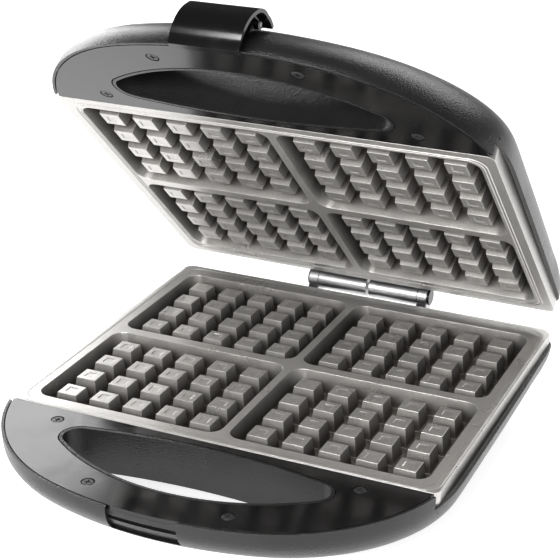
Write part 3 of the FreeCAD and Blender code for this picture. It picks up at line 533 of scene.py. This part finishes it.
METALS = {                          # name, colour, roughness and, where not 1, metallic
    "element": ("Heat-darkened sheath", (0.20, 0.18, 0.17), 0.45),
    "bright_sheet": ("Rolled aluminium sheet", (0.80, 0.80, 0.79), 0.28),
    "dark_screw": ("Black zinc screw", (0.035, 0.035, 0.04), 0.28, 0.8),
    "steel": ("Turned steel", (0.62, 0.62, 0.63), 0.26),
    "hinge_barrel": ("Bright hinge barrel", (0.70, 0.70, 0.71), 0.30),
    "thermostat": ("Pressed thermostat case", (0.62, 0.60, 0.56), 0.35),
}
PLAIN = {                           # name, colour, roughness, pebble size, depth, transmission
    "fuse_sleeve": ("Woven glass sleeve", (0.78, 0.75, 0.66), 0.7, 0.0006, 0.0002),
    "ceramic": ("Unglazed ceramic", (0.84, 0.81, 0.76), 0.5, 0.0004, 0.00005),
    "lead_insulation": ("Silicone insulation", (0.70, 0.67, 0.60), 0.45, 0.0005, 0.00005),
    "rubber": ("Moulded black rubber", (0.02, 0.02, 0.02), 0.62, 0.0005, 0.0001),
    "red_lens": ("Red jewel lens", (0.75, 0.03, 0.02), 0.06, 0.002, 0.00002, 0.7),
    "green_lens": ("Green jewel lens", (0.05, 0.55, 0.12), 0.06, 0.002, 0.00002, 0.7),
    "lamp_glass": ("Neon lamp glass", (0.90, 0.86, 0.80), 0.05, 0.002, 0.00001, 0.8),
    "bracket": ("Lamp bracket plastic", (0.68, 0.66, 0.60), 0.5, 0.0006, 0.00005),
}
MATERIALS = {}


def build_materials(finish):
    """Builds every finish once, under the name that the pieces ask for."""
    MATERIALS["housing"] = housing_material(finish)
    MATERIALS["grip_trim"] = gloss_material(finish, "Polished black plastic", 0.09)
    MATERIALS["latch"] = gloss_material(finish, "Polished black latch", 0.1)
    MATERIALS["cooking_plate"] = plate_material(finish)
    for key, values in METALS.items():
        MATERIALS[key] = metal_material(*values)
    for key, values in PLAIN.items():
        MATERIALS[key] = plain_material(*values)


# ---------------------------------------------------------------- pieces
def finish_node(name, material):
    """Gives a carried-over CAD node its finish."""
    node = frame["nodes"][name]
    for slot in node.material_slots:
        slot.material = MATERIALS[material]


def copy_of(node_name):
    """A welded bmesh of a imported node's mesh."""
    shape = bmesh.new()
    shape.from_mesh(frame["nodes"][node_name].data)
    bmesh.ops.remove_doubles(shape, verts=shape.verts, dist=WELD)
    return shape


def to_piece(shape, piece_name, material):
    """Turns a bmesh into a smooth-shaded object of one material."""
    for face in shape.faces:
        face.smooth = True
    mesh = bpy.data.meshes.new(piece_name)
    shape.to_mesh(mesh)
    shape.free()
    mesh.materials.append(MATERIALS[material])
    piece = bpy.data.objects.new(piece_name, mesh)
    bpy.context.scene.collection.objects.link(piece)
    return piece


def stand_in(shape, piece_name, node_name, material, edge, segments=2, angle=EDGE_ANGLE):
    """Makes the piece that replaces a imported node, with rounded edges and clean shading."""
    piece = to_piece(shape, piece_name, material)
    piece.data.set_sharp_from_angle(angle=math.radians(angle))
    if edge > 0.0:
        rounding = piece.modifiers.new("Rounded edges", "BEVEL")
        rounding.width = edge
        rounding.segments = segments
        rounding.limit_method = "ANGLE"
        rounding.angle_limit = math.radians(angle)
    weights = piece.modifiers.new("Face weights", "WEIGHTED_NORMAL")
    weights.keep_sharp = edge <= 0.0
    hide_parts(node_name)
    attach(piece, frame["nodes"][node_name]["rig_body"])
    return piece


def rounded_copy(node_name, piece_name, material, edge, segments=2):
    """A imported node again, its flat faces joined up and its edges rounded."""
    shape = copy_of(node_name)
    bmesh.ops.dissolve_limit(shape, angle_limit=FLAT_ANGLE, verts=shape.verts, edges=shape.edges,
                             delimit={"MATERIAL"})
    return stand_in(shape, piece_name, node_name, material, edge, segments)


def shut_matrix(node_name):
    """Maps a point of a node to millimetres on its half, drawn shut and open side up."""
    upper = frame["nodes"][node_name]["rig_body"] == "lid"
    to_row = Matrix.Translation(base_point(0, 0, 0)) @ Matrix.Scale(MM, 4)
    if upper:
        flip = Matrix.Scale(-1.0, 4, Vector((0, 0, 1)))
        return (lid_matrix() @ to_row @ flip).inverted()
    return to_row.inverted()


def tooth_tips(shape, to_shut):
    """The flat tips of a cooking plate's teeth."""
    level = -(RIM_FACE + TOOTH_RECESS)
    area = (TOOTH_TIP * MM) ** 2
    tips = []
    for face in shape.faces:
        height = (to_shut @ face.calc_center_median()).z
        at_level = abs(height - level) < TIP_LEVEL_ROOM
        if at_level and abs(face.calc_area() / area - 1) < TIP_AREA_ROOM:
            tips.append(face)
    if len(tips) != TEETH_PER_PLATE:
        raise RuntimeError(f"found {len(tips)} tooth tips, not {TEETH_PER_PLATE}")
    return tips


def mark_depth(shape, to_shut):
    """Stores on every corner how deep in a cavity it lies, from 0 at the rim to 1."""
    layer = shape.verts.layers.float.new("cavity_depth")
    for corner in shape.verts:
        low = to_shut @ corner.co
        across = abs(low.x) < PLATE_HALF - RIM_MARGIN
        along = PLATE_FRONT + RIM_MARGIN < low.y < PLATE_BACK - RIM_MARGIN_BACK
        deep = min(1.0, max(0.0, (-low.z - SHADE_START) / SHADE_REACH))
        corner[layer] = deep if across and along else 0.0


def cooking_plate(node_name, piece_name, shape_set):
    """Cast plate with an ejector dimple on every tooth and a depth value on every corner."""
    shape = copy_of(node_name)
    bmesh.ops.dissolve_limit(shape, angle_limit=FLAT_ANGLE, verts=shape.verts, edges=shape.edges)
    to_shut = shut_matrix(node_name)
    tips = tooth_tips(shape, to_shut)
    margin = (TOOTH_TIP * MM - shape_set.dimple_width) / 2
    bmesh.ops.inset_individual(shape, faces=tips, thickness=margin, depth=0.0)
    bmesh.ops.inset_individual(shape, faces=tips, thickness=DIMPLE_WALL * MM,
                               depth=-shape_set.dimple_depth)
    mark_depth(shape, to_shut)
    return stand_in(shape, piece_name, node_name, "cooking_plate", shape_set.cast_edge,
                    PLATE_EDGE_SEGMENTS, PLATE_EDGE_ANGLE)


def rounded_loop(half_x, front, back, corner):
    """Points once round a rectangle with round corners, in millimetres."""
    right, left = half_x - corner, corner - half_x
    low, high = front + corner, back - corner
    points = []
    for centre_x, centre_y, start in ((right, low, -90), (right, high, 0),
                                      (left, high, 90), (left, low, 180)):
        for step in range(CORNER_STEPS + 1):
            turn = math.radians(start + 90.0 * step / CORNER_STEPS)
            points.append((centre_x + corner * math.cos(turn), centre_y + corner * math.sin(turn)))
    return points


def rim_ring(piece_name, section, place, body):
    """A closed raised band round a plate's rim, its section a list of (inset, height)."""
    shape = bmesh.new()
    rows = []
    for inset, height in section:
        points = rounded_loop(PLATE_HALF - inset, PLATE_FRONT + inset, PLATE_BACK - inset, RIM_CORNER)
        rows.append([shape.verts.new(place(x, y, height)) for x, y in points])
    count = len(rows[0])
    for index, first in enumerate(rows):
        second = rows[(index + 1) % len(rows)]
        for step in range(count):
            following = (step + 1) % count
            shape.faces.new((first[step], first[following], second[following], second[step]))
    bmesh.ops.recalc_face_normals(shape, faces=shape.faces)
    shape.verts.layers.float.new("cavity_depth")
    piece = to_piece(shape, piece_name, "cooking_plate")
    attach(piece, body)
    return piece


def bead_section(inset, height):
    """Section of a half-round bead, its foot sunk in the rim."""
    section = [(inset, -BEAD_SUNK)]
    for step in range(BEAD_STEPS + 1):
        turn = math.pi * step / BEAD_STEPS
        section.append((inset + BEAD_WIDTH * (1 - math.cos(turn)) / 2, height * math.sin(turn)))
    section.append((inset + BEAD_WIDTH, -BEAD_SUNK))
    return section


# ---------------------------------------------------------------- operators
class OBJECT_OT_waffle_finishes(bpy.types.Operator):
    """Builds the shared node groups and every finish"""

    bl_idname = "object.waffle_finishes"
    bl_label = "Finishes"

    def execute(self, context):
        build_groups()
        build_materials(context.scene.waffle_finish)
        return {"FINISHED"}


class OBJECT_OT_waffle_housings(bpy.types.Operator):
    """Finishes the two moulded housings and brightens their hinge barrels"""

    bl_idname = "object.waffle_housings"
    bl_label = "Housings"

    def execute(self, context):
        for name in ("base_housing", "lid_housing"):
            mesh = frame["nodes"][name].data.copy()
            mesh.name = name + "_moulded"
            mesh.materials.clear()
            mesh.materials.append(MATERIALS["housing"])
            mesh.materials.append(MATERIALS["hinge_barrel"])
            to_shut = shut_matrix(name)
            for face in mesh.polygons:
                centre = to_shut @ face.center
                off_axis = math.hypot(centre.y - HINGE_BEHIND_ORIGIN / MM,
                                      abs(centre.z) - HINGE_OVER_PARTING / MM)
                round_axis = off_axis < BARREL_RADIUS + BARREL_CLEAR
                behind = centre.y > HOUSING_BACK + BARREL_CLEAR
                on_barrel = (round_axis or behind) and abs(centre.x) < HINGE_HALF
                face.material_index = 1 if on_barrel else 0
            piece = bpy.data.objects.new(name + "_moulded", mesh)
            context.scene.collection.objects.link(piece)
            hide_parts(name)
            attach(piece, frame["nodes"][name]["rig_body"])
        return {"FINISHED"}


class OBJECT_OT_waffle_trims(bpy.types.Operator):
    """Builds the polished grip trims and finishes their screws"""

    bl_idname = "object.waffle_trims"
    bl_label = "Grip trims and screws"

    def execute(self, context):
        edge = context.scene.waffle_shape.moulded_edge
        for half in ("base", "lid"):
            rounded_copy(half + "_grip_trim", half + "_trim_polished", "grip_trim", edge)
            finish_node(half + "_trim_screws", "dark_screw")
        return {"FINISHED"}


class OBJECT_OT_waffle_plates(bpy.types.Operator):
    """Builds the two cast cooking plates with tooth dimples, sealing beads and the lower rim step"""

    bl_idname = "object.waffle_plates"
    bl_label = "Cooking plates"

    def execute(self, context):
        shape_set = context.scene.waffle_shape
        cooking_plate("lower_cooking_plate", "lower_plate_cast", shape_set)
        cooking_plate("upper_cooking_plate", "upper_plate_cast", shape_set)
        height = shape_set.bead_height / MM

        def on_lower(x, y, z):
            return base_point(x, y, z - RIM_FACE)

        def on_upper(x, y, z):
            return lid_point(x, y, RIM_FACE - z)

        outer = bead_section(OUTER_BEAD_INSET, height)
        inner = bead_section(INNER_BEAD_INSET, height)
        rim_ring("upper_plate_outer_bead", outer, on_upper, "lid")
        rim_ring("upper_plate_inner_bead", inner, on_upper, "lid")
        rim_ring("lower_plate_rim_step", STEP_SECTION, on_lower, "base")
        return {"FINISHED"}


class OBJECT_OT_waffle_latch(bpy.types.Operator):
    """Builds the arched latch clip and finishes its pin"""

    bl_idname = "object.waffle_latch"
    bl_label = "Latch"

    def execute(self, context):
        edge = context.scene.waffle_shape.moulded_edge
        rounded_copy("latch", "latch_clip_polished", "latch", edge, 3)
        finish_node("latch_pin", "steel")
        return {"FINISHED"}


class OBJECT_OT_waffle_hinge(bpy.types.Operator):
    """Finishes the hinge pins and builds the rounded end caps"""

    bl_idname = "object.waffle_hinge"
    bl_label = "Hinge"

    def execute(self, context):
        for side in ("left", "right"):
            finish_node("hinge_pin_" + side, "steel")
        edge = context.scene.waffle_shape.moulded_edge
        rounded_copy("hinge_end_caps", "hinge_caps_moulded", "grip_trim", edge)
        return {"FINISHED"}


class OBJECT_OT_waffle_heating(bpy.types.Operator):
    """Finishes the elements, clamps, heat reflectors and their screws"""

    bl_idname = "object.waffle_heating"
    bl_label = "Heating parts"

    def execute(self, context):
        for half in ("lower", "upper"):
            finish_node(half + "_heating_element", "element")
            finish_node(half + "_element_clamps", "bright_sheet")
            finish_node(half + "_heat_reflector", "bright_sheet")
            finish_node(half + "_reflector_screws", "steel")
        return {"FINISHED"}


class OBJECT_OT_waffle_electrics(bpy.types.Operator):
    """Finishes the thermostat, fuse, junction, leads, lamps and their holder"""

    bl_idname = "object.waffle_electrics"
    bl_label = "Electric parts"

    def execute(self, context):
        finishes = {
            "thermostat": "thermostat", "thermal_fuse": "fuse_sleeve", "terminal_block": "ceramic",
            "base_wiring": "lead_insulation", "lid_wiring": "lead_insulation", "lamp_holder": "bracket",
            "neon_lamps": "lamp_glass", "power_lamp_lens": "red_lens", "ready_lamp_lens": "green_lens",
        }
        for name, material in finishes.items():
            finish_node(name, material)
        return {"FINISHED"}


class OBJECT_OT_waffle_rubber(bpy.types.Operator):
    """Builds the soft-edged feet and the cord inlet bush"""

    bl_idname = "object.waffle_rubber"
    bl_label = "Feet and cord inlet"

    def execute(self, context):
        edge = context.scene.waffle_shape.moulded_edge
        rounded_copy("rubber_feet", "feet_moulded", "rubber", edge)
        rounded_copy("cord_gland", "inlet_bush_moulded", "rubber", edge)
        return {"FINISHED"}


def soft_light(name, where, aim, size, power):
    """A rectangular softbox that faces its aim."""
    light = bpy.data.lights.new(name, "AREA")
    light.shape = "RECTANGLE"
    light.size, light.size_y = size
    light.energy = power
    lamp = bpy.data.objects.new(name, light)
    lamp.location = where
    lamp.rotation_euler = (Vector(aim) - Vector(where)).to_track_quat("-Z", "Y").to_euler()
    bpy.context.scene.collection.objects.link(lamp)


def pale_floor(colour):
    """A plain square floor just under the feet."""
    mesh = bpy.data.meshes.new("floor")
    corners = [(-FLOOR_REACH, -FLOOR_REACH, 0), (FLOOR_REACH, -FLOOR_REACH, 0),
               (FLOOR_REACH, FLOOR_REACH, 0), (-FLOOR_REACH, FLOOR_REACH, 0)]
    mesh.from_pydata(corners, [], [(0, 1, 2, 3)])
    mesh.materials.append(floor_material(colour))
    floor = bpy.data.objects.new("floor", mesh)
    floor.location.z = -FLOOR_DROP
    bpy.context.scene.collection.objects.link(floor)


def soft_room():
    """A faint even light from all round."""
    world = bpy.data.worlds.new("Soft room")
    world.use_nodes = True
    background = world.node_tree.nodes["Background"]
    background.inputs["Color"].default_value = (1.0, 1.0, 1.0, 1.0)
    background.inputs["Strength"].default_value = WORLD_STRENGTH
    bpy.context.scene.world = world


def studio_camera(stage):
    """The camera, turned by azimuth and elevation about its aim point and then rolled."""
    azimuth, elevation = stage.camera_azimuth, stage.camera_elevation
    back = Vector((math.sin(azimuth) * math.cos(elevation),
                   -math.cos(azimuth) * math.cos(elevation), math.sin(elevation)))
    right = Vector((math.cos(azimuth), math.sin(azimuth), 0.0))
    above = back.cross(right)
    rolled_right = right * math.cos(CAMERA_ROLL) - above * math.sin(CAMERA_ROLL)
    rolled_above = right * math.sin(CAMERA_ROLL) + above * math.cos(CAMERA_ROLL)
    lens = bpy.data.cameras.new("Studio camera")
    lens.sensor_width = SENSOR_WIDTH
    lens.lens = stage.lens
    lens.clip_start = 0.01
    camera = bpy.data.objects.new("Studio camera", lens)
    turn = Matrix((rolled_right, rolled_above, back)).transposed()
    place = base_point(*CAMERA_AIM) + back * stage.camera_distance
    camera.matrix_world = Matrix.Translation(place) @ turn.to_4x4()
    bpy.context.scene.collection.objects.link(camera)
    bpy.context.scene.camera = camera


class OBJECT_OT_waffle_stage(bpy.types.Operator):
    """Builds the plain floor, the soft lights and the camera"""

    bl_idname = "object.waffle_stage"
    bl_label = "Stage"

    def execute(self, context):
        stage = context.scene.waffle_stage
        pale_floor(stage.floor_colour)
        soft_room()
        for name, where, aim, size, share in SOFTBOXES:
            soft_light(name, where, aim, size, stage.key_power * share)
        studio_camera(stage)
        context.scene.view_settings.view_transform = "Standard"
        return {"FINISHED"}


PIECES = (
    OBJECT_OT_waffle_finishes, OBJECT_OT_waffle_stage, OBJECT_OT_waffle_housings,
    OBJECT_OT_waffle_trims, OBJECT_OT_waffle_plates, OBJECT_OT_waffle_latch,
    OBJECT_OT_waffle_hinge, OBJECT_OT_waffle_heating, OBJECT_OT_waffle_electrics,
    OBJECT_OT_waffle_rubber,
)


class VIEW3D_PT_waffle_maker(bpy.types.Panel):
    """Lists the pieces and their settings"""

    bl_label = "Waffle Maker"
    bl_idname = "VIEW3D_PT_waffle_maker"
    bl_space_type = "VIEW_3D"
    bl_region_type = "UI"
    bl_category = "Waffle Maker"

    def draw(self, context):
        for name, kind in SETTINGS:
            box = self.layout.box()
            for key in kind.__annotations__:
                box.prop(getattr(context.scene, name), key)
        for piece in PIECES:
            self.layout.operator(piece.bl_idname)


SETTINGS = (
    ("waffle_finish", FinishSettings), ("waffle_shape", ShapeSettings),
    ("waffle_stage", StageSettings),
)


def register():
    for name, kind in SETTINGS:
        bpy.utils.register_class(kind)
        setattr(bpy.types.Scene, name, bpy.props.PointerProperty(type=kind))
    for kind in (*PIECES, VIEW3D_PT_waffle_maker):
        bpy.utils.register_class(kind)


def unregister():
    for kind in reversed((*PIECES, VIEW3D_PT_waffle_maker)):
        bpy.utils.unregister_class(kind)
    for name, kind in reversed(SETTINGS):
        delattr(bpy.types.Scene, name)
        bpy.utils.unregister_class(kind)


def main():
    """Registers the add-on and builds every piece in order."""
    register()
    for piece in PIECES:
        group, call = piece.bl_idname.split(".")
        getattr(getattr(bpy.ops, group), call)()
    bpy.context.view_layer.update()


if __name__ == "__main__":
    main()
